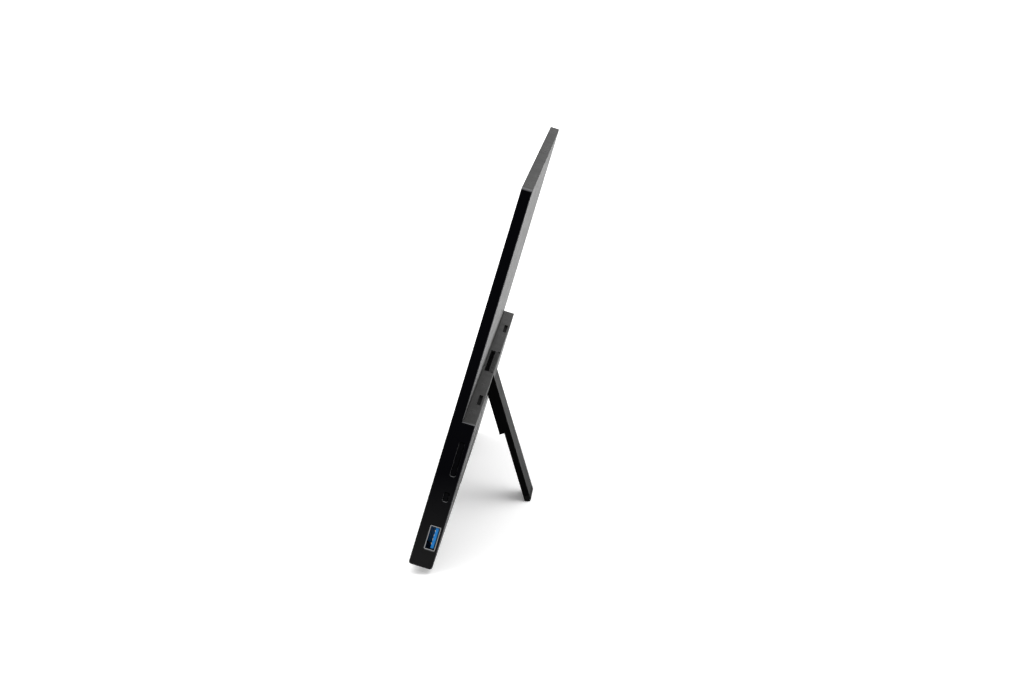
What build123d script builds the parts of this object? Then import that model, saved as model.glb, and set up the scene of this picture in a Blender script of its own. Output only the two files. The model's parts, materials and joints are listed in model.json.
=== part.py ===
"""Portable all-in-one PC: a thin display slab with a thicker lower section and one centre kickstand.

The slab is described in its own coordinates: x across, u up the slab from its bottom edge,
and n into the slab from its front face. The planes below place these in the part's frame,
with the slab leaning back and the kickstand open, standing on the table at z = 0.
"""
from build123d import *
import os
from math import sin, cos, radians

os.makedirs("parts", exist_ok=True)

# ---------------------------------------------------------------- driving dimensions, mm and degrees
WIDTH = 330.0
HEIGHT = 206.0
THIN = 5.9
THICK = 12.8
LEDGE_U = 81.0
LEAN = 16.5
OPEN_ANGLE = 33.0
EDGE_R = 1.5
LEDGE_R = 0.4
TRIM_T = 2.0
TRIM_CORNER_R = 1.6
PANEL_GAP = 0.05
PORT_GAP = 0.1
WALL = 1.0
BOTTOM_WALL = 1.6
TOP_WALL = 1.2
RUN_GAP = 0.4
PAD_DROP = 3.0

# display stack, as depths behind the front face
GLASS_N = (0.1, 0.8)
PANEL_N = (0.8, 1.9)
BACKLIGHT_N = (1.9, 3.3)
FRAME_N = (3.3, 4.1)
PANEL_X = 157.0
PANEL_U = (15.0, 198.0)

# kickstand
LEG_W = 26.0
LEG_T = 3.8
LEG_BLOCK_T = 6.7
LEG_BLOCK_LEN = 36.0
LEG_PLATE_T = 0.9
LEG_CHAMFER = 0.2
LEG_LIP = 0.6
PLATE_EDGE_R = 0.25
PAD_EDGE_R = 0.5
HINGE_U = 75.4
HINGE_N = 10.2
PIN_R = 1.0
PIN_CLEARANCE = 0.05
PIN_LEN = 44.0
BRACKET_X = (14.6, 21.6)
BRACKET_R = 1.75
CHANNEL_WALL = 0.7

# hinge cover, vents and speaker slots in the ledge
COVER_X = 29.0
COVER_N = 10.0
COVER_U = 78.3
COVER_EAR_U = 71.5
VENT_X = 30.0
VENT_N = (7.0, 9.7)
SPEAKER_X = 106.0
SPEAKER_SLOT = (24.0, 2.1)
SPEAKER_SLOT_N = 10.5
NOTCH_LEN = 2.2
COVER_END_GAP = 0.4
NOTCH_N = 11.0
GRILLE_T = 0.7
MESH_T = 0.4

# right side: USB-A port, volume rocker and power button
USB_U = 16.8
USB_N = 8.4
USB_SIZE = (13.1, 5.7)
USB_DEPTH = 14.0
USB_WALL = 0.3
OPENING_CHAMFER = 0.25
RIM_CHAMFER = 0.3
ROCKER_U = 61.0
ROCKER_LEN = 18.3
POWER_U = 40.0
POWER_LEN = 4.6
KEY_N = 8.9
KEY_T = 2.4
KEY_GAP = 0.15
KEY_FACE = 0.1
SWITCH_PITCH = 13.0
PIVOT_R = 0.4
PIVOT_LEN = 2.8
KEY_CHAMFER = 0.2

# left side: USB-C power inlet
INLET_U = 17.0
INLET_SIZE = (8.94, 3.26)
INLET_DEPTH = 7.4

HALF_W = WIDTH / 2
INNER_X = HALF_W - TRIM_T
SIN_L = sin(radians(LEAN))
COS_L = cos(radians(LEAN))
LEG_LEAN = OPEN_ANGLE - LEAN
SIN_K = sin(radians(LEG_LEAN))
COS_K = cos(radians(LEG_LEAN))

# the slab's frame: the rounded bottom back corner clears the table by PAD_DROP
BASE_Z = PAD_DROP + EDGE_R + (THICK - EDGE_R) * SIN_L - EDGE_R * COS_L
FRONT_Y = EDGE_R * SIN_L + EDGE_R * COS_L - EDGE_R
BACK_Y = HEIGHT * SIN_L + THIN * COS_L
BASE_Y = -(FRONT_Y + BACK_Y) / 2


def slab_point(x, u, n):
    """A point of the slab in the part's frame."""
    return Vector(x, BASE_Y + u * SIN_L + n * COS_L, BASE_Z + u * COS_L - n * SIN_L)


def face_plane(n):
    """Parallel to the screen at depth n: local x across, y up the slab, z towards the front."""
    return Plane(origin=slab_point(0, 0, n), x_dir=(1, 0, 0), z_dir=(0, -COS_L, SIN_L))


def side_plane(x):
    """Across the slab at x: local x is depth n, local y is height u, z is +X."""
    return Plane(origin=slab_point(x, 0, 0), x_dir=(0, COS_L, -SIN_L), z_dir=(1, 0, 0))


def cross_plane(u):
    """Square to the slab's height at u: local x across, local y is depth n, z up the slab."""
    return Plane(origin=slab_point(0, u, 0), x_dir=(1, 0, 0), z_dir=(0, SIN_L, COS_L))


HINGE = slab_point(0, HINGE_U, HINGE_N)
LEG_OUT = THICK - HINGE_N
LEG_IN = LEG_OUT - LEG_T
LEG_BLOCK_IN = LEG_OUT - LEG_BLOCK_T


def leg_plane(x):
    """Across the leg at x: local x is outwards from the hinge axis, local y up along the leg."""
    origin = Vector(x, HINGE.Y, HINGE.Z)
    return Plane(origin=origin, x_dir=(0, COS_K, SIN_K), z_dir=(1, 0, 0))


def leg_face_plane(w):
    """Parallel to the leg's face at w outwards: local x across, y up the leg, z inwards."""
    origin = Vector(0, HINGE.Y + w * COS_K, HINGE.Z + w * SIN_K)
    return Plane(origin=origin, x_dir=(1, 0, 0), z_dir=(0, -COS_K, -SIN_K))


def leg_length(w):
    """Distance from the hinge axis down the leg to the table, at w outwards."""
    return (HINGE.Z + w * SIN_K) / COS_K


def block(x, u, n, corner=0.0, mode=Mode.ADD):
    """A block of the slab between the pairs x, u and n, with rounded corners in the screen plane."""
    with BuildSketch(face_plane(n[1])) as outline:
        with Locations(((x[0] + x[1]) / 2, (u[0] + u[1]) / 2)):
            if corner:
                RectangleRounded(x[1] - x[0], u[1] - u[0], corner)
            else:
                Rectangle(x[1] - x[0], u[1] - u[0])
    extrude(outline.sketch, amount=n[1] - n[0], mode=mode)


def profile(points, x, plane=side_plane, mode=Mode.ADD):
    """A closed outline in (n, u), carried between the two x values."""
    with BuildSketch(plane(x[0])) as outline:
        with BuildLine():
            Polyline(*points, close=True)
        make_face()
    extrude(outline.sketch, amount=x[1] - x[0], mode=mode)


def rod(places, radius, plane, length, mode=Mode.ADD):
    """Round bars or holes of one radius on a plane, at several places."""
    with BuildSketch(plane) as outline:
        with Locations(*places):
            Circle(radius)
    extrude(outline.sketch, amount=length, mode=mode)


def save(piece, label):
    """Names a finished piece and writes its STEP file."""
    piece.label = label
    export_step(piece, f"parts/{label}.step")


def side_outline():
    """The slab's side outline in (n, u): thick below the ledge, thin above it."""
    return [
        (0, 0),
        (THICK, 0),
        (THICK, LEDGE_U),
        (THIN, LEDGE_U),
        (THIN, HEIGHT),
        (0, HEIGHT),
    ]


# ---------------------------------------------------------------- side trims
def trim_body(x):
    """One black side trim before its openings: the whole side outline with eased edges."""
    with BuildSketch(side_plane(x[0])) as outline:
        with BuildLine():
            Polyline(*side_outline(), close=True)
        make_face()
        fillet(outline.vertices().group_by(Axis.Y)[0], EDGE_R)
    extrude(outline.sketch, amount=x[1] - x[0])


def ease_trim(trim, outside):
    """Softens the trim's outer rim, and rounds its top corner in the screen plane."""
    top = trim.faces().sort_by(Axis.Z)[-1].edges().filter_by(GeomType.LINE)
    outer_top = top.filter_by(lambda e: abs(e.center().X - outside) < 0.01)
    fillet(outer_top, TRIM_CORNER_R)
    rim = trim.faces().filter_by(lambda f: abs(f.center().X - outside) < 0.01).edges()
    chamfer(rim, RIM_CHAMFER)


with BuildPart() as right_side_trim:
    trim_body((INNER_X, HALF_W))
    ease_trim(right_side_trim, HALF_W)
    port_x = (INNER_X - 1, HALF_W + 1)
    with BuildSketch(side_plane(port_x[0])) as side_openings:
        with Locations((USB_N, USB_U)):
            RectangleRounded(USB_SIZE[1] + 2 * PORT_GAP, USB_SIZE[0] + 2 * PORT_GAP, 0.6)
        with Locations((KEY_N, ROCKER_U)):
            RectangleRounded(KEY_T + 2 * KEY_GAP, ROCKER_LEN + 2 * KEY_GAP, 0.9)
        with Locations((KEY_N, POWER_U)):
            RectangleRounded(KEY_T + 2 * KEY_GAP, POWER_LEN + 2 * KEY_GAP, 0.9)
    extrude(side_openings.sketch, amount=port_x[1] - port_x[0], mode=Mode.SUBTRACT)
    outer_face = right_side_trim.faces().filter_by(Axis.X).sort_by(Axis.X)[-1]
    chamfer(outer_face.inner_wires().edges(), OPENING_CHAMFER)
save(right_side_trim.part, "right_side_trim")

with BuildPart() as left_side_trim:
    trim_body((-HALF_W, -INNER_X))
    ease_trim(left_side_trim, -HALF_W)
    with BuildSketch(side_plane(-HALF_W - 1)) as inlet_opening:
        with Locations((USB_N, INLET_U)):
            SlotOverall(INLET_SIZE[0] + 2 * PORT_GAP, INLET_SIZE[1] + 2 * PORT_GAP, rotation=90)
    extrude(inlet_opening.sketch, amount=TRIM_T + 2, mode=Mode.SUBTRACT)
save(left_side_trim.part, "left_side_trim")

# ---------------------------------------------------------------- display stack
GLASS_X = INNER_X - 0.1
GLASS_U = (BOTTOM_WALL + 0.1, HEIGHT - TOP_WALL - 0.1)

with BuildPart() as cover_glass:
    block((-GLASS_X, GLASS_X), GLASS_U, GLASS_N, corner=1.0)
save(cover_glass.part, "cover_glass")

with BuildPart() as lcd_panel:
    block((-PANEL_X, PANEL_X), PANEL_U, PANEL_N)
save(lcd_panel.part, "lcd_panel")

with BuildPart() as backlight_unit:
    block((-PANEL_X, PANEL_X), PANEL_U, BACKLIGHT_N)
save(backlight_unit.part, "backlight_unit")

PANEL_BOARD_X = (20.0, 120.0)
PANEL_BOARD_U = (6.5, 14.0)
with BuildPart() as panel_board:
    block(PANEL_BOARD_X, PANEL_BOARD_U, (1.6, 2.4))
    for chip_x in (38.0, 70.0, 102.0):
        block((chip_x - 5, chip_x + 5), (8.5, 12.0), (2.4, 3.1))
save(panel_board.part, "panel_board")

CAMERA_SIZE = (8.4, 4.4)
CAMERA_U = 201.4
MIC_X = 22.0
POSTS = [(x, u) for x in (-156.0, 156.0) for u in (75.0, 31.0)]
POSTS += [(-142.0, 4.8), (-20.0, 5.5), (20.0, 5.5), (142.0, 4.8)]
POST_R = 2.2
POST_TOP = THICK - WALL
SCREW_R = 0.8
THREAD_R = SCREW_R - 0.05
HEAD_R = 1.5
HEAD_HOLE_R = 1.6
HEAD_T = 0.7
FLEX_X = (60.0, 82.0)

with BuildPart() as mid_frame:
    block((-GLASS_X, GLASS_X), GLASS_U, (GLASS_N[1], FRAME_N[1]))
    inside_u = (PANEL_U[0] - 0.2, PANEL_U[1] + 0.2)
    block((-PANEL_X - 0.2, PANEL_X + 0.2), inside_u, (GLASS_N[1], FRAME_N[0]), mode=Mode.SUBTRACT)
    board_x = (PANEL_BOARD_X[0] - 0.5, PANEL_BOARD_X[1] + 0.5)
    block(board_x, (PANEL_BOARD_U[0] - 0.5, PANEL_U[0]), (GLASS_N[1], FRAME_N[0]), mode=Mode.SUBTRACT)
    block((FLEX_X[0] - 1, FLEX_X[1] + 1), (8.0, 13.0), FRAME_N, mode=Mode.SUBTRACT)
    for window_x in (-102.0, 0.0, 102.0):
        window = (window_x - 40, window_x + 40)
        block(window, (100.0, 186.0), FRAME_N, corner=8.0, mode=Mode.SUBTRACT)
    for width, middle in ((CAMERA_SIZE[0] + 0.4, 0), (5.0, MIC_X), (5.0, -MIC_X)):
        pocket = (middle - width / 2, middle + width / 2)
        pocket_u = (CAMERA_U - 2.4, CAMERA_U + 2.4)
        block(pocket, pocket_u, (GLASS_N[1], FRAME_N[1]), mode=Mode.SUBTRACT)
    rod(POSTS, POST_R, face_plane(FRAME_N[1]), FRAME_N[1] - POST_TOP)
    rod(POSTS, SCREW_R, face_plane(POST_TOP), 5.0, mode=Mode.SUBTRACT)
save(mid_frame.part, "mid_frame")

with BuildPart() as camera_module:
    half = CAMERA_SIZE[0] / 2
    block((-half, half), (CAMERA_U - 2.2, CAMERA_U + 2.2), (1.4, 4.2))
    rod([(0, CAMERA_U)], 1.5, face_plane(1.4), 0.6)
save(camera_module.part, "camera_module")

with BuildPart() as microphones:
    for mic_x in (-MIC_X, MIC_X):
        block((mic_x - 1.9, mic_x + 1.9), (CAMERA_U - 1.5, CAMERA_U + 1.5), (2.8, 4.0))
save(microphones.part, "microphones")

# ---------------------------------------------------------------- back covers
with BuildPart() as upper_back_cover:
    back_points = [
        (THIN - WALL, LEDGE_U - 1.7),
        (THIN, LEDGE_U - 1.7),
        (THIN, HEIGHT),
        (0, HEIGHT),
        (0, HEIGHT - TOP_WALL),
        (THIN - WALL, HEIGHT - TOP_WALL),
    ]
    profile(back_points, (-INNER_X + PANEL_GAP, INNER_X - PANEL_GAP))
    long_edges = upper_back_cover.edges().filter_by(Axis.X)
    fillet(long_edges.sort_by(Axis.Z)[-2:], 0.5)
save(upper_back_cover.part, "upper_back_cover")

CHANNEL_X = LEG_W / 2 + RUN_GAP
TUB_X = CHANNEL_X + CHANNEL_WALL
DEEP_N = HINGE_N + LEG_BLOCK_IN - RUN_GAP
SHALLOW_N = HINGE_N + LEG_IN - RUN_GAP
DEEP_U = HINGE_U - LEG_BLOCK_LEN - 2 * RUN_GAP

with BuildPart() as lower_rear_housing:
    shell_points = [
        (0, 0),
        (THICK, 0),
        (THICK, LEDGE_U),
        (THIN + 0.1, LEDGE_U),
        (THIN + 0.1, LEDGE_U - WALL),
        (THICK - WALL, LEDGE_U - WALL),
        (THICK - WALL, BOTTOM_WALL),
        (0, BOTTOM_WALL),
    ]
    with BuildSketch(side_plane(-INNER_X + PANEL_GAP)) as shell_outline:
        with BuildLine():
            Polyline(*shell_points, close=True)
        make_face()
        fillet(shell_outline.vertices().group_by(Axis.Y)[0], EDGE_R)
        fillet(shell_outline.vertices().group_by(Axis.Y)[-1].sort_by(Axis.X)[-1], LEDGE_R)
    extrude(shell_outline.sketch, amount=2 * (INNER_X - PANEL_GAP))
    tub_points = [
        (THICK - WALL / 2, 1.0),
        (THICK - WALL / 2, COVER_U),
        (DEEP_N - CHANNEL_WALL, COVER_U),
        (DEEP_N - CHANNEL_WALL, DEEP_U - CHANNEL_WALL),
        (SHALLOW_N - CHANNEL_WALL, DEEP_U - CHANNEL_WALL),
        (SHALLOW_N - CHANNEL_WALL, 1.0),
    ]
    profile(tub_points, (-TUB_X, TUB_X))
    channel_points = [
        (THICK + 1, -1),
        (THICK + 1, COVER_U),
        (DEEP_N, COVER_U),
        (DEEP_N, DEEP_U),
        (SHALLOW_N, DEEP_U),
        (SHALLOW_N, -1),
    ]
    profile(channel_points, (-CHANNEL_X, CHANNEL_X), mode=Mode.SUBTRACT)
    tub_roof = (DEEP_N - CHANNEL_WALL, COVER_N - 0.2)
    block((-TUB_X, TUB_X), (COVER_U, COVER_U + 0.6), tub_roof)
    cover_seat = (-COVER_X - COVER_END_GAP, COVER_X + COVER_END_GAP)
    block(cover_seat, (COVER_U, LEDGE_U + 1), (COVER_N - 0.1, THICK + 1), mode=Mode.SUBTRACT)
    for end in (-1, 1):
        ear = sorted((end * CHANNEL_X, end * (COVER_X + COVER_END_GAP)))
        block(ear, (COVER_EAR_U - 0.1, LEDGE_U + 1), (THICK - WALL - 0.1, THICK + 1), mode=Mode.SUBTRACT)
        slot_x = (end * SPEAKER_X - SPEAKER_SLOT[0] / 2, end * SPEAKER_X + SPEAKER_SLOT[0] / 2)
        slot_n = (SPEAKER_SLOT_N - SPEAKER_SLOT[1] / 2, SPEAKER_SLOT_N + SPEAKER_SLOT[1] / 2)
        block(slot_x, (LEDGE_U - 2, LEDGE_U + 1), slot_n, mode=Mode.SUBTRACT)
        notch = sorted((end * COVER_X, end * (COVER_X + NOTCH_LEN)))
        block(notch, (COVER_U, LEDGE_U + 1), (NOTCH_N, THICK + 1), mode=Mode.SUBTRACT)
    block((-VENT_X, VENT_X), (LEDGE_U - WALL - 0.1, LEDGE_U + 1), VENT_N, mode=Mode.SUBTRACT)
    with BuildSketch(side_plane(-PIN_LEN)) as pin_passage:
        with Locations((HINGE_N, HINGE_U)):
            Circle(PIN_R + 0.2)
    extrude(pin_passage.sketch, amount=2 * PIN_LEN, mode=Mode.SUBTRACT)
    rod(POSTS, SCREW_R + 0.1, face_plane(THICK), WALL, mode=Mode.SUBTRACT)
    rod(POSTS, HEAD_HOLE_R, face_plane(THICK), 0.6, mode=Mode.SUBTRACT)
save(lower_rear_housing.part, "lower_rear_housing")

with BuildPart() as hinge_cover:
    strip_points = [
        (COVER_N, COVER_U + 0.1),
        (THICK, COVER_U + 0.1),
        (THICK, LEDGE_U),
        (COVER_N, LEDGE_U),
    ]
    profile(strip_points, (-COVER_X, COVER_X))
    for end in (-1, 1):
        ear = sorted((end * (CHANNEL_X + 0.1), end * COVER_X))
        block(ear, (COVER_EAR_U, COVER_U + 0.2), (THICK - 0.7, THICK))
    back_top = hinge_cover.edges().filter_by(Axis.X).sort_by(lambda e: e.center().Y + e.center().Z)[-1]
    fillet(back_top, 1.2)
save(hinge_cover.part, "hinge_cover")

with BuildPart() as vent_grille:
    grille_u = (LEDGE_U - WALL - GRILLE_T, LEDGE_U - WALL)
    block((-VENT_X - 1, VENT_X + 1), grille_u, (VENT_N[0] - 0.6, VENT_N[1] + 0.2))
    with BuildSketch(cross_plane(grille_u[0])) as grille_slots:
        with Locations((0, (VENT_N[0] + VENT_N[1]) / 2)):
            with GridLocations(2.4, 1, 24, 1):
                Rectangle(1.5, 2.0)
    extrude(grille_slots.sketch, amount=GRILLE_T, mode=Mode.SUBTRACT)
save(vent_grille.part, "vent_grille")

with BuildPart() as speaker_meshes:
    mesh_u = (LEDGE_U - WALL - MESH_T, LEDGE_U - WALL)
    for end in (-1, 1):
        mesh_x = (end * SPEAKER_X - 13, end * SPEAKER_X + 13)
        block(mesh_x, mesh_u, (9.0, THICK - WALL))
    with BuildSketch(cross_plane(mesh_u[0])) as mesh_holes:
        for end in (-1, 1):
            with Locations((end * SPEAKER_X, SPEAKER_SLOT_N)):
                with GridLocations(1.5, 0.8, 15, 2):
                    Circle(0.28)
    extrude(mesh_holes.sketch, amount=MESH_T, mode=Mode.SUBTRACT)
save(speaker_meshes.part, "speaker_meshes")

# ---------------------------------------------------------------- inside the lower section
SPEAKER_U = (59.0, 78.0)
with BuildPart() as speakers:
    for end in (-1, 1):
        middle = end * SPEAKER_X
        block((middle - 20, middle + 20), SPEAKER_U, (5.4, 11.2), corner=2.0)
        block((middle - 11, middle + 11), (76.0, LEDGE_U - WALL - 0.5), (9.4, 11.2))
save(speakers.part, "speakers")

BOARD_X = (24.0, 158.0)
BOARD_U = (9.0, 54.0)
BOARD_N = (7.2, 8.2)
STANDOFFS = [(30.0, 14.0), (30.0, 49.0), (92.0, 49.0), (150.0, 49.0), (92.0, 14.0)]

with BuildPart() as mainboard:
    block(BOARD_X, BOARD_U, BOARD_N, corner=1.5)
    block((150.4, 159.0), (USB_U - 7, USB_U + 7), (BOARD_N[0] - 1, BOARD_N[1] + 1), mode=Mode.SUBTRACT)
    block((152.6, 159.0), (27.6, 34.4), (BOARD_N[0] - 1, BOARD_N[1] + 1), mode=Mode.SUBTRACT)
    rod(STANDOFFS, SCREW_R, face_plane(BOARD_N[1]), 1.0, mode=Mode.SUBTRACT)
save(mainboard.part, "mainboard")

with BuildPart() as board_standoffs:
    rod(STANDOFFS, 1.9, face_plane(FRAME_N[1]), FRAME_N[1] - BOARD_N[0])
    rod(STANDOFFS, SCREW_R, face_plane(BOARD_N[0]), 2.0, mode=Mode.SUBTRACT)
save(board_standoffs.part, "board_standoffs")

with BuildPart() as board_screws:
    rod(STANDOFFS, HEAD_R, face_plane(BOARD_N[1] + HEAD_T), HEAD_T)
    rod(STANDOFFS, THREAD_R, face_plane(BOARD_N[1]), 2.6)
save(board_screws.part, "board_screws")

CPU_X = (44.0, 68.0)
CPU_U = (22.0, 38.0)
with BuildPart() as processor:
    block(CPU_X, CPU_U, (BOARD_N[1], BOARD_N[1] + 0.5))
    block((50.0, 62.0), (25.0, 35.0), (BOARD_N[1] + 0.5, BOARD_N[1] + 1.1))
save(processor.part, "processor")

with BuildPart() as heat_spreader:
    block((36.0, 86.0), (13.0, 45.0), (BOARD_N[1] + 1.1, BOARD_N[1] + 2.1), corner=2.0)
save(heat_spreader.part, "heat_spreader")

with BuildPart() as memory_chips:
    for chip_x in (72.0, 82.0):
        for chip_u in (18.0, 32.0):
            block((chip_x - 4, chip_x + 4), (chip_u, chip_u + 11), (BOARD_N[1], BOARD_N[1] + 1.0))
save(memory_chips.part, "memory_chips")

with BuildPart() as ssd_module:
    block((104.0, 146.0), (24.0, 46.0), (9.6, 10.4))
    block((103.0, 107.0), (23.5, 46.5), (BOARD_N[1], 9.6))
    for chip_x in (116.0, 134.0):
        block((chip_x - 7, chip_x + 7), (27.0, 43.0), (10.4, 11.3))
save(ssd_module.part, "ssd_module")

with BuildPart() as wifi_module:
    block((124.0, 136.0), (10.0, 22.0), (BOARD_N[1], BOARD_N[1] + 0.7))
    block((125.0, 135.0), (11.0, 21.0), (BOARD_N[1] + 0.7, BOARD_N[1] + 1.8))
save(wifi_module.part, "wifi_module")

with BuildPart() as display_flex:
    ribbon = [
        (2.4, 10.3),
        (2.4, 10.0),
        (BOARD_N[0] - 0.1, 10.0),
        (BOARD_N[0] - 0.1, 16.0),
        (BOARD_N[0] - 0.4, 16.0),
        (BOARD_N[0] - 0.4, 10.3),
    ]
    profile(ribbon, (FLEX_X[0] + 16, FLEX_X[1] - 1))
save(display_flex.part, "display_flex")

BATTERY_U = (9.0, 55.0)
with BuildPart() as battery_cells:
    for cell_x in ((-134.0, -80.0), (-78.0, -24.0)):
        block(cell_x, BATTERY_U, (5.0, 11.2), corner=2.0)
save(battery_cells.part, "battery_cells")

with BuildPart() as battery_board:
    block((-120.0, -38.0), (55.2, 58.0), (7.6, 8.6))
save(battery_board.part, "battery_board")

with BuildPart() as inlet_board:
    block((-156.5, -137.0), (9.0, 26.0), BOARD_N)
save(inlet_board.part, "inlet_board")

with BuildPart() as antennas:
    for end in (-1, 1):
        antenna_x = sorted((end * 70.0, end * 112.0))
        block(antenna_x, (191.0, 203.0), (FRAME_N[1] + 0.2, FRAME_N[1] + 0.5))
save(antennas.part, "antennas")

# ---------------------------------------------------------------- ports
PORT_FACE = HALF_W - 0.1
with BuildPart() as usb_shell:
    with BuildSketch(side_plane(PORT_FACE - USB_DEPTH)) as usb_tube:
        with Locations((USB_N, USB_U)):
            RectangleRounded(USB_SIZE[1], USB_SIZE[0], 0.5)
            RectangleRounded(USB_SIZE[1] - 2 * USB_WALL, USB_SIZE[0] - 2 * USB_WALL, 0.2, mode=Mode.SUBTRACT)
    extrude(usb_tube.sketch, amount=USB_DEPTH)
save(usb_shell.part, "usb_shell")

TONGUE_N = USB_N + 1.1
with BuildPart() as usb_tongue:
    tongue_x = (PORT_FACE - USB_DEPTH + 1.5, PORT_FACE - 0.9)
    block(tongue_x, (USB_U - 5.6, USB_U + 5.6), (TONGUE_N - 0.8, TONGUE_N + 0.8))
    rear_x = (PORT_FACE - USB_DEPTH, PORT_FACE - USB_DEPTH + 1.5)
    rear_u = (USB_U - USB_SIZE[0] / 2 + USB_WALL + 0.05, USB_U + USB_SIZE[0] / 2 - USB_WALL - 0.05)
    rear_n = (USB_N - USB_SIZE[1] / 2 + USB_WALL + 0.05, USB_N + USB_SIZE[1] / 2 - USB_WALL - 0.05)
    block(rear_x, rear_u, rear_n)
save(usb_tongue.part, "usb_tongue")

with BuildPart() as usb_contacts:
    for contact in range(4):
        contact_u = USB_U - 3.5 + contact * 7 / 3
        contact_x = (PORT_FACE - 10.5, PORT_FACE - 2.0)
        block(contact_x, (contact_u - 0.5, contact_u + 0.5), (TONGUE_N - 0.95, TONGUE_N - 0.8))
save(usb_contacts.part, "usb_contacts")

with BuildPart() as inlet_shell:
    with BuildSketch(side_plane(-PORT_FACE)) as inlet_tube:
        with Locations((USB_N, INLET_U)):
            SlotOverall(INLET_SIZE[0], INLET_SIZE[1], rotation=90)
            SlotOverall(INLET_SIZE[0] - 0.6, INLET_SIZE[1] - 0.6, rotation=90, mode=Mode.SUBTRACT)
    extrude(inlet_tube.sketch, amount=INLET_DEPTH)
save(inlet_shell.part, "inlet_shell")

with BuildPart() as inlet_tongue:
    inlet_x = (-PORT_FACE + 0.8, -PORT_FACE + INLET_DEPTH)
    block(inlet_x, (INLET_U - 3.3, INLET_U + 3.3), (USB_N - 0.35, USB_N + 0.35))
    with BuildSketch(side_plane(-PORT_FACE + INLET_DEPTH - 0.8)) as inlet_rear:
        with Locations((USB_N, INLET_U)):
            SlotOverall(INLET_SIZE[0] - 0.7, INLET_SIZE[1] - 0.7, rotation=90)
    extrude(inlet_rear.sketch, amount=0.8)
save(inlet_tongue.part, "inlet_tongue")

# ---------------------------------------------------------------- keys on the right side
KEY_OUT = HALF_W - KEY_FACE
FLANGE_OUT = INNER_X - 0.55
FLANGE_IN = FLANGE_OUT - 0.6
SWITCH_TOP = FLANGE_IN - 0.35


def key_cap(u, length):
    """A key with a rounded face and a wider flange that keeps it behind the trim."""
    with BuildSketch(side_plane(FLANGE_IN)) as stem:
        with Locations((KEY_N, u)):
            RectangleRounded(KEY_T, length, 0.8)
    extrude(stem.sketch, amount=KEY_OUT - FLANGE_IN)
    with BuildSketch(side_plane(FLANGE_IN)) as flange:
        with Locations((KEY_N, u)):
            RectangleRounded(KEY_T + 1.4, length + 1.6, 0.8)
    extrude(flange.sketch, amount=FLANGE_OUT - FLANGE_IN)


with BuildPart() as volume_rocker:
    key_cap(ROCKER_U, ROCKER_LEN)
    with BuildSketch(face_plane(KEY_N + PIVOT_LEN / 2)) as pivot:
        with Locations((FLANGE_IN, ROCKER_U)):
            Circle(PIVOT_R)
    extrude(pivot.sketch, amount=PIVOT_LEN)
    chamfer(volume_rocker.faces().sort_by(Axis.X)[-1].edges(), KEY_CHAMFER)
save(volume_rocker.part, "volume_rocker")

with BuildPart() as power_button:
    key_cap(POWER_U, POWER_LEN)
    chamfer(power_button.faces().sort_by(Axis.X)[-1].edges(), KEY_CHAMFER)
save(power_button.part, "power_button")

with BuildPart() as button_board:
    block((SWITCH_TOP - 1.6, SWITCH_TOP - 0.8), (35.0, 71.0), (6.6, 11.2))
save(button_board.part, "button_board")

with BuildPart() as dome_switches:
    places = [(KEY_N, u) for u in (POWER_U, ROCKER_U - SWITCH_PITCH / 2, ROCKER_U + SWITCH_PITCH / 2)]
    rod(places, 1.5, side_plane(SWITCH_TOP - 0.8), 0.4)
    rod(places, 0.9, side_plane(SWITCH_TOP - 0.4), 0.4)
save(dome_switches.part, "dome_switches")

# ---------------------------------------------------------------- hinge hardware
with BuildPart() as hinge_brackets:
    for end in (-1, 1):
        bracket_x = sorted((end * BRACKET_X[0], end * BRACKET_X[1]))
        with BuildSketch(side_plane(bracket_x[0])) as bracket_profile:
            with Locations((HINGE_N, HINGE_U)):
                Circle(BRACKET_R)
            with BuildLine():
                Polyline(
                    (HINGE_N - BRACKET_R, HINGE_U),
                    (HINGE_N + BRACKET_R, HINGE_U),
                    (HINGE_N + 0.4, HINGE_U - 6),
                    (FRAME_N[1] + 1.0, HINGE_U - 12),
                    (FRAME_N[1], HINGE_U - 12),
                    (FRAME_N[1], HINGE_U - 3),
                    close=True,
                )
            make_face()
            with Locations((HINGE_N, HINGE_U)):
                Circle(PIN_R + PIN_CLEARANCE, mode=Mode.SUBTRACT)
        extrude(bracket_profile.sketch, amount=bracket_x[1] - bracket_x[0])
        foot_x = sorted((end * BRACKET_X[1], end * (BRACKET_X[1] + 6)))
        block(foot_x, (HINGE_U - 12, HINGE_U - 4), (FRAME_N[1], FRAME_N[1] + 1.0))
        screw_place = [(end * (BRACKET_X[1] + 3), HINGE_U - 8)]
        rod(screw_place, SCREW_R, face_plane(FRAME_N[1] + 1.0), 1.0, mode=Mode.SUBTRACT)
save(hinge_brackets.part, "hinge_brackets")

with BuildPart() as bracket_screws:
    bracket_places = [(end * (BRACKET_X[1] + 3), HINGE_U - 8) for end in (-1, 1)]
    rod(bracket_places, 1.4, face_plane(FRAME_N[1] + 1.7), 0.7)
    rod(bracket_places, THREAD_R, face_plane(FRAME_N[1] + 1.0), 0.9)
save(bracket_screws.part, "bracket_screws")

with BuildPart() as housing_screws:
    rod(POSTS, HEAD_R, face_plane(THICK - 0.05), 0.55)
    rod(POSTS, THREAD_R, face_plane(THICK - 0.6), 4.5)
    rod(POSTS, 0.7, face_plane(THICK), 0.35, mode=Mode.SUBTRACT)
save(housing_screws.part, "housing_screws")

# wedge feet under the bottom edge, flat on the table
FOOT_N = (6.0, THICK - EDGE_R)
TABLE_SLOPE = SIN_L / COS_L


def table_u(n):
    """Height u of the table's surface, seen in the slab's side at depth n."""
    return n * TABLE_SLOPE - BASE_Z / COS_L


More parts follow.
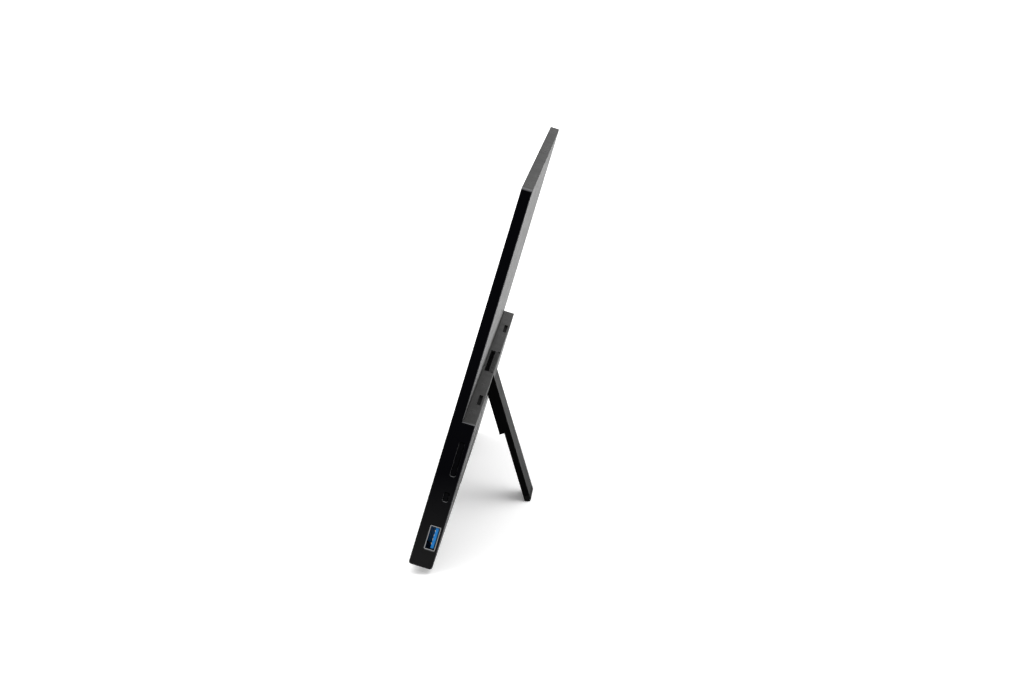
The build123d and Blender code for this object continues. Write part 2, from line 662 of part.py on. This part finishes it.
with BuildPart() as rubber_feet:
    wedge = [
        (FOOT_N[0], 0),
        (FOOT_N[0] + 0.4, table_u(FOOT_N[0] + 0.4) + 1.0),
        (FOOT_N[0] + 1.2, table_u(FOOT_N[0] + 1.2)),
        (FOOT_N[1] - 0.2, table_u(FOOT_N[1] - 0.2)),
        (FOOT_N[1], 0),
    ]
    for foot_x in ((-135.0, -95.0), (95.0, 135.0)):
        profile(wedge, foot_x)
save(rubber_feet.part, "rubber_feet")

# ---------------------------------------------------------------- kickstand
PAD_LEN = 3.0
PAD_TOP = leg_length(LEG_IN) - PAD_LEN
PLATE_TOP = 2.6
HALF_LEG = LEG_W / 2
PLATE_SCREWS = [(-8.0, -14.0), (8.0, -14.0), (0.0, -62.0)]
BLOCK_SINK = 2.6
LEG_SINK = 0.8

with BuildPart() as leg_body:
    body_points = [
        (0, 0),
        (LEG_OUT, 0),
        (LEG_OUT, -PAD_TOP),
        (LEG_IN, -PAD_TOP),
        (LEG_IN, -LEG_BLOCK_LEN),
        (LEG_BLOCK_IN, -LEG_BLOCK_LEN),
        (LEG_BLOCK_IN, -2.5),
        (LEG_BLOCK_IN + 1.6, 0),
    ]
    with BuildSketch(leg_plane(-HALF_LEG)) as leg_outline:
        with BuildLine():
            Polyline(*body_points, close=True)
        make_face()
        Circle(LEG_OUT)
        Circle(PIN_R, mode=Mode.SUBTRACT)
    extrude(leg_outline.sketch, amount=LEG_W)
    plate_pocket = [
        (LEG_OUT - LEG_PLATE_T, -PLATE_TOP),
        (LEG_OUT + 1, -PLATE_TOP),
        (LEG_OUT + 1, -PAD_TOP - 1),
        (LEG_OUT - LEG_PLATE_T, -PAD_TOP - 1),
    ]
    pocket_half = HALF_LEG - LEG_LIP
    profile(plate_pocket, (-pocket_half, pocket_half), plane=leg_plane, mode=Mode.SUBTRACT)
    rod(PLATE_SCREWS[:2], SCREW_R, leg_face_plane(LEG_OUT - LEG_PLATE_T), LEG_BLOCK_T, mode=Mode.SUBTRACT)
    rod(PLATE_SCREWS[2:], SCREW_R, leg_face_plane(LEG_OUT - LEG_PLATE_T), LEG_T, mode=Mode.SUBTRACT)
    rod(PLATE_SCREWS[:2], HEAD_HOLE_R, leg_face_plane(LEG_BLOCK_IN + BLOCK_SINK), 3.0, mode=Mode.SUBTRACT)
    rod(PLATE_SCREWS[2:], HEAD_HOLE_R, leg_face_plane(LEG_IN + LEG_SINK), 2.0, mode=Mode.SUBTRACT)
    leg_rim = leg_body.faces().filter_by(Axis.X).group_by(Axis.X)
    chamfer(leg_rim[0].edges().filter_by(GeomType.LINE), LEG_CHAMFER)
    chamfer(leg_rim[-1].edges().filter_by(GeomType.LINE), LEG_CHAMFER)
save(leg_body.part, "leg_body")

with BuildPart() as leg_plate:
    plate_points = [
        (LEG_OUT, -PLATE_TOP),
        (LEG_OUT, -PAD_TOP),
        (LEG_OUT - LEG_PLATE_T, -PAD_TOP),
        (LEG_OUT - LEG_PLATE_T, -PLATE_TOP),
    ]
    plate_half = HALF_LEG - LEG_LIP - PANEL_GAP
    profile(plate_points, (-plate_half, plate_half), plane=leg_plane)
    outer_edges = leg_plate.faces().sort_by(Axis.Y)[-1].edges()
    fillet(outer_edges, PLATE_EDGE_R)
save(leg_plate.part, "leg_plate")

with BuildPart() as leg_foot_pad:
    pad_points = [
        (LEG_IN, -PAD_TOP),
        (LEG_IN, -leg_length(LEG_IN)),
        (LEG_OUT - 1.0, -leg_length(LEG_OUT - 1.0)),
        (LEG_OUT, -leg_length(LEG_OUT - 1.0) + 0.9),
        (LEG_OUT, -PAD_TOP),
    ]
    profile(pad_points, (-HALF_LEG, HALF_LEG), plane=leg_plane)
    low_edges = leg_foot_pad.edges().filter_by(lambda e: e.center().Z < 0.9)
    fillet(low_edges, PAD_EDGE_R)
save(leg_foot_pad.part, "leg_foot_pad")

with BuildPart() as leg_screws:
    plate_seat = leg_face_plane(LEG_OUT - LEG_PLATE_T)
    rod(PLATE_SCREWS[:2], THREAD_R, plate_seat, LEG_BLOCK_T - LEG_PLATE_T - BLOCK_SINK)
    rod(PLATE_SCREWS[:2], HEAD_R, leg_face_plane(LEG_BLOCK_IN + BLOCK_SINK), 0.8)
    rod(PLATE_SCREWS[2:], THREAD_R, plate_seat, LEG_T - LEG_PLATE_T - LEG_SINK)
    rod(PLATE_SCREWS[2:], HEAD_R, leg_face_plane(LEG_IN + LEG_SINK), 0.75)
save(leg_screws.part, "leg_screws")

with BuildPart() as hinge_pin:
    with BuildSketch(leg_plane(-PIN_LEN / 2)):
        Circle(PIN_R)
    extrude(amount=PIN_LEN)
    chamfer(hinge_pin.edges().filter_by(GeomType.CIRCLE), 0.2)
save(hinge_pin.part, "hinge_pin")
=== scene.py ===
"""Looks for the all-in-one PC: materials, studio floor, sky, lights and camera."""
import json
from math import cos, radians, sin

import bpy
from mathutils import Matrix, Vector


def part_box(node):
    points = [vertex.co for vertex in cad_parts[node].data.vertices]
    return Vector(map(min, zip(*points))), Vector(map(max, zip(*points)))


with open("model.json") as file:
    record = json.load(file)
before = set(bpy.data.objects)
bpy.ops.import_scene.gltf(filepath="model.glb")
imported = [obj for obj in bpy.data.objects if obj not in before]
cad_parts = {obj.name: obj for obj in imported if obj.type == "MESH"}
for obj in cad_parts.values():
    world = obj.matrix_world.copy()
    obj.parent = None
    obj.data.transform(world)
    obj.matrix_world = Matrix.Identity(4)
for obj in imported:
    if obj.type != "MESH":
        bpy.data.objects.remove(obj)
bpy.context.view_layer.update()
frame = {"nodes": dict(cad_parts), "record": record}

# ---------------------------------------------------------------- where things are, in metres
LEAN = radians(16.5)
UP_SLAB = Vector((0, sin(LEAN), cos(LEAN)))
ACROSS = Vector((1, 0, 0))
UP = Vector((0, 0, 1))
TABLE = Vector((0, 0, 0))
PANEL_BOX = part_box("lcd_panel")
CAMERA_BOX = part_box("camera_module")
SCREEN_CENTRE = (PANEL_BOX[0] + PANEL_BOX[1]) / 2
LENS_CENTRE = (CAMERA_BOX[0] + CAMERA_BOX[1]) / 2
ACTIVE_SIZE = Vector((0.3095, 0.174))
PUPIL_R = 0.0008
RING_INNER_R = 0.0015
RING_OUTER_R = 0.0022
# Heights over which the trim's painted reflection of the floor, a lighter tint near the table, fades
# out.
FLOOR_REFLECTION_HEIGHTS = (0.008, 0.055)
# Distances from the port's mouth over which the painted shade inside the port fades, the steel going
# from dark to bright.
PORT_SHADE_DEPTHS = (-0.0012, -0.0003)

# ---------------------------------------------------------------- surface detail
# Noise fields: scale, detail and roughness.
DRIFT = (60.0, 6.0, 0.7)
SMUDGE = (90.0, 5.0, 0.65)
STREAKS = (1.0, 4.0, 0.6)
CREASES = (160.0, 5.0, 0.7)
GLASS_SMEAR = (25.0, 5.0, 0.7)
GRAIN_DETAIL = 2.0
DRIFT_SHARE = 0.45
GRAIN_SHARE = 0.55
GLOSS_GRAIN = 2200.0
METAL_PATCHES = 120.0
BOARD_PATCHES = 200.0
TRACK_SCALE = 320.0
TRACK_EDGE = (0.02, 0.07)
FLOOR_MOTTLE = 3.0
FLOOR_MOTTLE_GAIN = 1.01
# Bump depths in metres.
GRAIN_DEPTH = 0.0001
STREAK_DEPTH = 0.00005
CREASE_DEPTH = 0.0003
# A bevel lies between the flat side and the narrow faces, told apart by the normal's X.
SIDE_NORMAL_X = (0.80, 0.97)
NARROW_NORMAL_X = (0.05, 0.35)


# ---------------------------------------------------------------- material helpers
class Nodes:
    """A material's node tree with short calls for the nodes that the materials share."""

    def __init__(self, name):
        self.material = bpy.data.materials.new(name)
        self.material.use_nodes = True
        self.tree = self.material.node_tree
        self.shader = self.tree.nodes["Principled BSDF"]
        self.place = self.add("ShaderNodeTexCoord").outputs["Object"]

    def add(self, kind, **settings):
        node = self.tree.nodes.new(kind)
        for key, value in settings.items():
            setattr(node, key, value)
        return node

    def link(self, source, target):
        self.tree.links.new(source, target)

    def set(self, **sockets):
        for key, value in sockets.items():
            self.shader.inputs[key.replace("_", " ")].default_value = value

    def drive(self, **sockets):
        for key, source in sockets.items():
            self.link(source, self.shader.inputs[key.replace("_", " ")])

    def stretched(self, scale):
        mapping = self.add("ShaderNodeMapping")
        mapping.inputs["Scale"].default_value = scale
        self.link(self.place, mapping.inputs["Vector"])
        return mapping.outputs["Vector"]

    def noise(self, scale, detail=3.0, rough=0.55, vector=None):
        node = self.add("ShaderNodeTexNoise")
        node.inputs["Scale"].default_value = scale
        node.inputs["Detail"].default_value = detail
        node.inputs["Roughness"].default_value = rough
        self.link(vector or self.place, node.inputs["Vector"])
        return node.outputs["Fac"]

    def spread(self, value, low, high, start=0.3, end=0.7):
        """Maps a value from start and end to low and high."""
        node = self.add("ShaderNodeMapRange")
        node.inputs["From Min"].default_value = start
        node.inputs["From Max"].default_value = end
        node.inputs["To Min"].default_value = low
        node.inputs["To Max"].default_value = high
        self.link(value, node.inputs["Value"])
        return node.outputs["Result"]

    def math(self, operation, first, second=0.0):
        node = self.add("ShaderNodeMath", operation=operation)
        for socket, value in zip(node.inputs, (first, second)):
            if isinstance(value, (int, float)):
                socket.default_value = value
            else:
                self.link(value, socket)
        return node.outputs["Value"]

    def colours(self, value, first, second):
        """A mix of two colours, each given as numbers or as a node's output."""
        node = self.add("ShaderNodeMix", data_type="RGBA")
        for socket, colour in ((node.inputs["A"], first), (node.inputs["B"], second)):
            if isinstance(colour, tuple):
                socket.default_value = (*colour, 1)
            else:
                self.link(colour, socket)
        self.link(value, node.inputs["Factor"])
        return node.outputs["Result"]

    def bump(self, height, strength, distance):
        node = self.add("ShaderNodeBump")
        node.inputs["Strength"].default_value = strength
        node.inputs["Distance"].default_value = distance
        self.link(height, node.inputs["Height"])
        self.drive(Normal=node.outputs["Normal"])

    def along(self, direction, origin):
        """How far a point lies from the origin along a direction, in metres."""
        node = self.add("ShaderNodeVectorMath", operation="DOT_PRODUCT")
        node.inputs[1].default_value = direction
        self.link(self.place, node.inputs[0])
        return self.math("SUBTRACT", node.outputs["Value"], direction.dot(origin))


def moulded(name, dark, light, rough, grain, bump, specular=0.5):
    """Moulded plastic, paint or rubber: fine grain, uneven gloss and a slight colour drift."""
    n = Nodes(name)
    drift = n.noise(*DRIFT)
    fine = n.noise(grain, GRAIN_DETAIL)
    smudge = n.noise(*SMUDGE)
    tone = n.math("ADD", n.math("MULTIPLY", drift, DRIFT_SHARE),
                  n.math("MULTIPLY", fine, GRAIN_SHARE))
    n.drive(Base_Color=n.colours(n.spread(tone, 0, 1), dark, light),
            Roughness=n.spread(smudge, *rough))
    n.bump(fine, bump, GRAIN_DEPTH)
    n.set(Specular_IOR_Level=specular)
    return n.material


def bevelled_gloss(name, dark, light, painted_floor_reflection, rough, polish):
    """Glossy black plastic with polished bevels, and a painted reflection of the floor that makes it
    a little lighter near the table.
    """
    n = Nodes(name)
    fine = n.noise(GLOSS_GRAIN, GRAIN_DETAIL)
    smudge = n.noise(*SMUDGE)
    normal = n.add("ShaderNodeSeparateXYZ")
    n.link(n.add("ShaderNodeTexCoord").outputs["Normal"], normal.inputs["Vector"])
    sideways = n.math("ABSOLUTE", normal.outputs["X"])
    bevel = n.math("MULTIPLY", n.spread(sideways, 1, 0, *SIDE_NORMAL_X),
                   n.spread(sideways, 0, 1, *NARROW_NORMAL_X))
    # Painted reflection of the floor: the colour turns to the lighter tint towards the table.
    low = n.spread(n.along(UP, TABLE), 1, 0, *FLOOR_REFLECTION_HEIGHTS)
    body = n.colours(low, n.colours(n.spread(fine, 0, 1), dark, light), painted_floor_reflection)
    n.drive(Base_Color=n.colours(bevel, body, polish), Metallic=bevel,
            Roughness=n.spread(smudge, *rough))
    n.bump(fine, 0.02, GRAIN_DEPTH)
    n.set(Specular_IOR_Level=0.012)
    return n.material


def port_shell():
    """Stamped steel with painted shade that darkens it quickly inside the port."""
    n = Nodes("port_shell")
    streaks = n.noise(*STREAKS, n.stretched(STEEL_STREAKS))
    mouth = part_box("usb_shell")[1]
    # Painted shade: 0 deep inside the port, where the steel is painted dark, rising to 1 at the
    # mouth.
    port_shade_fade = n.spread(n.along(ACROSS, mouth), 0, 1, *PORT_SHADE_DEPTHS)
    steel = n.colours(n.spread(streaks, 0, 1), STEEL_DARK, STEEL_LIGHT)
    # The near-black colour is painted shade inside the port.
    n.drive(Base_Color=n.colours(port_shade_fade, (0.012, 0.014, 0.018), steel),
            Roughness=n.spread(n.noise(METAL_PATCHES), 0.24, 0.36))
    n.bump(streaks, 0.15, STREAK_DEPTH)
    n.set(Metallic=1.0)
    return n.material


def brushed(name, dark, light, rough, direction):
    """Drawn or brushed metal with streaks along one direction."""
    n = Nodes(name)
    streaks = n.noise(*STREAKS, n.stretched(direction))
    n.drive(Base_Color=n.colours(n.spread(streaks, 0, 1), dark, light),
            Roughness=n.spread(n.noise(METAL_PATCHES), *rough))
    n.bump(streaks, 0.15, STREAK_DEPTH)
    n.set(Metallic=1.0)
    return n.material


def circuit_board():
    """Green solder mask over faint copper tracks."""
    n = Nodes("solder_mask")
    tracks = n.add("ShaderNodeTexVoronoi", feature="DISTANCE_TO_EDGE")
    tracks.inputs["Scale"].default_value = TRACK_SCALE
    n.link(n.place, tracks.inputs["Vector"])
    lines = n.spread(tracks.outputs["Distance"], 1, 0, *TRACK_EDGE)
    n.drive(Base_Color=n.colours(lines, (0.006, 0.045, 0.02), (0.02, 0.12, 0.05)),
            Roughness=n.spread(n.noise(BOARD_PATCHES), 0.25, 0.45))
    n.bump(lines, 0.3, STREAK_DEPTH)
    return n.material


def screen_glass():
    """A switched-off screen: black print round a slightly lighter active area, and a lens."""
    n = Nodes("screen_glass")
    across = n.math("ABSOLUTE", n.along(ACROSS, SCREEN_CENTRE))
    up = n.math("ABSOLUTE", n.along(UP_SLAB, SCREEN_CENTRE))
    inside = n.math("MULTIPLY", n.math("LESS_THAN", across, ACTIVE_SIZE.x / 2),
                    n.math("LESS_THAN", up, ACTIVE_SIZE.y / 2))
    lens_x = n.along(ACROSS, LENS_CENTRE)
    lens_u = n.along(UP_SLAB, LENS_CENTRE)
    square = n.math("ADD", n.math("MULTIPLY", lens_x, lens_x), n.math("MULTIPLY", lens_u, lens_u))
    ring = n.math("MULTIPLY", n.math("LESS_THAN", square, RING_OUTER_R ** 2),
                  n.math("GREATER_THAN", square, RING_INNER_R ** 2))
    pupil = n.math("LESS_THAN", square, PUPIL_R ** 2)
    ink = n.colours(inside, (0.0035, 0.0035, 0.004), (0.0095, 0.0105, 0.013))
    n.drive(Base_Color=n.colours(n.math("ADD", ring, pupil), ink, (0.03, 0.032, 0.036)),
            Roughness=n.spread(n.noise(*GLASS_SMEAR), 0.03, 0.09))
    n.set(Specular_IOR_Level=0.5, Coat_Weight=0.3, Coat_Roughness=0.02)
    return n.material


def wrapped_cell():
    """A pouch cell's dull black wrap with soft creases."""
    n = Nodes("cell_wrap")
    creases = n.noise(*CREASES)
    n.drive(Base_Color=n.colours(n.spread(creases, 0, 1), (0.012, 0.012, 0.013), (0.03, 0.03, 0.032)),
            Roughness=n.spread(creases, 0.35, 0.6))
    n.bump(creases, 0.5, CREASE_DEPTH)
    return n.material


# ---------------------------------------------------------------- materials
# The covers' low specular levels were fitted to the photo's nearly edge-on view.
GREY_DARK = (0.0165, 0.0163, 0.016)
GREY_LIGHT = (0.0225, 0.0222, 0.0218)
GREY_ROUGH = (0.26, 0.34)
GREY_GRAIN = 2600.0
GREY_BUMP = 0.08
STEEL_DARK = (0.18, 0.185, 0.19)
STEEL_LIGHT = (0.30, 0.305, 0.31)
STEEL_STREAKS = (300, 2600, 2600)
FOIL_STREAKS = (200, 3000, 3000)

MATERIALS = {
    "black_gloss": bevelled_gloss(
        "black_gloss", (0.0003, 0.0003, 0.0008), (0.0007, 0.0007, 0.0013),
        # The tint near the table is a painted reflection of the floor.
        painted_floor_reflection=(0.0085, 0.0085, 0.0086), rough=(0.10, 0.20), polish=(0.06, 0.06, 0.063)),
    "screen_glass": screen_glass(),
    "lcd": moulded(
        "lcd_film", (0.01, 0.01, 0.013), (0.016, 0.016, 0.02),
        rough=(0.2, 0.3), grain=900.0, bump=0.02),
    "backlight": moulded(
        "light_guide", (0.7, 0.7, 0.7), (0.8, 0.8, 0.8), rough=(0.4, 0.6), grain=900.0, bump=0.05),
    "circuit_board": circuit_board(),
    "frame_metal": brushed(
        "cast_magnesium", (0.22, 0.22, 0.23), (0.34, 0.34, 0.35),
        rough=(0.4, 0.6), direction=(900, 900, 900)),
    "component_black": moulded(
        "component_black", (0.008, 0.008, 0.008), (0.018, 0.018, 0.018),
        rough=(0.4, 0.6), grain=1500.0, bump=0.1),
    "component_metal": brushed(
        "shield_metal", (0.45, 0.45, 0.47), (0.65, 0.65, 0.67),
        rough=(0.25, 0.4), direction=FOIL_STREAKS),
    "cover_grey": moulded(
        "cover_grey", GREY_DARK, GREY_LIGHT,
        rough=GREY_ROUGH, grain=GREY_GRAIN, bump=GREY_BUMP, specular=0.007),
    "brass": brushed(
        "gold_plate", (0.65, 0.45, 0.16), (0.85, 0.62, 0.28),
        rough=(0.2, 0.35), direction=(2000, 300, 2000)),
    "screw_steel": brushed(
        "blackened_steel", (0.03, 0.03, 0.032), (0.09, 0.09, 0.095),
        rough=(0.3, 0.5), direction=(2500, 2500, 2500)),
    "copper": brushed(
        "copper", (0.55, 0.22, 0.12), (0.75, 0.36, 0.22),
        rough=(0.25, 0.45), direction=FOIL_STREAKS),
    "flex_film": moulded(
        "polyimide", (0.22, 0.10, 0.015), (0.32, 0.15, 0.03),
        rough=(0.2, 0.35), grain=1200.0, bump=0.05),
    "battery_wrap": wrapped_cell(),
    "port_steel": brushed(
        "port_steel", STEEL_DARK, STEEL_LIGHT, rough=(0.22, 0.36), direction=STEEL_STREAKS),
    "blue_plastic": moulded(
        "blue_tongue", (0.003, 0.11, 0.34), (0.006, 0.16, 0.44),
        rough=(0.3, 0.42), grain=1800.0, bump=0.05, specular=0.15),
    "key_black": bevelled_gloss(
        "key_black", (0.0005, 0.0005, 0.0009), (0.0010, 0.0010, 0.0014),
        # The tint near the table is a painted reflection of the floor.
        painted_floor_reflection=(0.004, 0.004, 0.0041), rough=(0.14, 0.24), polish=(0.006, 0.006, 0.0062)),
    "rubber_black": moulded(
        "rubber_black", (0.003, 0.003, 0.003), (0.006, 0.006, 0.006),
        rough=(0.6, 0.8), grain=1600.0, bump=0.3, specular=0.04),
    "leg_black": moulded(
        "leg_black", (0.0008, 0.0008, 0.0009), (0.0016, 0.0016, 0.0018),
        rough=(0.28, 0.4), grain=2000.0, bump=0.06, specular=0.015),
}

NODE_MATERIALS = {
    "upper_back_cover": moulded(
        "upper_cover_grey", GREY_DARK, GREY_LIGHT,
        rough=GREY_ROUGH, grain=GREY_GRAIN, bump=GREY_BUMP, specular=0.0055),
    "hinge_cover": moulded(
        "hinge_cover_grey", (0.017, 0.017, 0.0167), (0.0225, 0.0225, 0.022),
        rough=GREY_ROUGH, grain=GREY_GRAIN, bump=GREY_BUMP, specular=0.002),
    "leg_plate": moulded(
        "leg_plate_grey", (0.0155, 0.0155, 0.0155), (0.0205, 0.0205, 0.0205),
        rough=(0.30, 0.38), grain=GREY_GRAIN, bump=GREY_BUMP, specular=0.002),
    "usb_shell": port_shell(),
    "vent_grille": moulded(
        "vent_black", (0.0008, 0.0008, 0.0009), (0.0015, 0.0015, 0.0016),
        rough=(0.5, 0.65), grain=1500.0, bump=0.1, specular=0.002),
    "speaker_meshes": moulded(
        "mesh_black", (0.0015, 0.0015, 0.0015), (0.003, 0.003, 0.003),
        rough=(0.5, 0.65), grain=1500.0, bump=0.1, specular=0.01),
}

for entry in frame["record"]["subparts"]:
    node = entry["node"]
    mesh = frame["nodes"][node].data
    mesh.materials.clear()
    mesh.materials.append(NODE_MATERIALS.get(node) or MATERIALS[entry["material_slot"]])

# ---------------------------------------------------------------- studio
FLOOR_SIZE = 40
FLOOR_WHITE = (0.93, 0.93, 0.93)
# A slight glow lightens the shadow under the object.
FLOOR_GLOW = 0.22
# The sky's strength rises with the height of the direction looked in, so that surfaces
# seen edge on reflect a dimmer band than the one that lights them from above.
SKY_RAMP = {"From Min": 0.12, "From Max": 0.55, "To Min": 0.30, "To Max": 1.45}


def plain(name, colour, rough):
    """A stage surface: nearly even, with a very faint mottle."""
    n = Nodes(name)
    light = tuple(min(1.0, c * FLOOR_MOTTLE_GAIN) for c in colour)
    n.drive(Base_Color=n.colours(n.spread(n.noise(FLOOR_MOTTLE), 0, 1), colour, light))
    n.set(Roughness=rough, Specular_IOR_Level=0.0,
          Emission_Color=(1, 1, 1, 1), Emission_Strength=FLOOR_GLOW)
    return n.material


bpy.ops.mesh.primitive_plane_add(size=FLOOR_SIZE)
floor = bpy.context.object
floor.name = "studio_floor"
floor.data.materials.append(plain("pale_floor", FLOOR_WHITE, rough=0.9))

world = bpy.data.worlds.new("studio")
bpy.context.scene.world = world
world.use_nodes = True
sky = world.node_tree
background = sky.nodes["Background"]
sky_place = sky.nodes.new("ShaderNodeTexCoord")
sky_parts = sky.nodes.new("ShaderNodeSeparateXYZ")
sky_level = sky.nodes.new("ShaderNodeMapRange")
for socket, value in SKY_RAMP.items():
    sky_level.inputs[socket].default_value = value
sky.links.new(sky_place.outputs["Generated"], sky_parts.inputs["Vector"])
sky.links.new(sky_parts.outputs["Z"], sky_level.inputs["Value"])
sky.links.new(sky_level.outputs["Result"], background.inputs["Strength"])
background.inputs["Color"].default_value = (1, 1, 1, 1)


def softbox(name, place, target, size, watts):
    """A large soft area light aimed at a point."""
    light = bpy.data.lights.new(name, "AREA")
    light.shape = "RECTANGLE"
    light.size, light.size_y = size
    light.energy = watts
    lamp = bpy.data.objects.new(name, light)
    lamp.location = place
    lamp.rotation_euler = (Vector(target) - Vector(place)).to_track_quat("-Z", "Y").to_euler()
    bpy.context.collection.objects.link(lamp)


softbox("overhead", place=(0.0, 0.2, 2.4), target=(0, 0, 0), size=(3.0, 3.0), watts=26)
softbox("far_side", place=(-2.4, 0.8, 1.2), target=(0, 0, 0.1), size=(1.6, 2.0), watts=14)

# ---------------------------------------------------------------- camera
CAMERA_AT = Vector((1.27982, 0.08967, 0.33851))
CAMERA_LOOK = Vector((-0.98035, -0.05983, -0.18798))
CAMERA_RIGHT = Vector((-0.06148, 0.99810, 0.00291))
LENS_MM = 78.4
SENSOR_MM = 36.0
CLIP_START = 0.01

camera = bpy.data.objects.new("camera", bpy.data.cameras.new("camera"))
bpy.context.collection.objects.link(camera)
look = CAMERA_LOOK.normalized()
right = (CAMERA_RIGHT - CAMERA_RIGHT.dot(look) * look).normalized()
turn = Matrix((right, right.cross(look), -look)).transposed()
camera.matrix_world = Matrix.Translation(CAMERA_AT) @ turn.to_4x4()
camera.data.lens = LENS_MM
camera.data.sensor_width = SENSOR_MM
camera.data.clip_start = CLIP_START
bpy.context.scene.camera = camera
bpy.context.scene.view_settings.view_transform = "Standard"
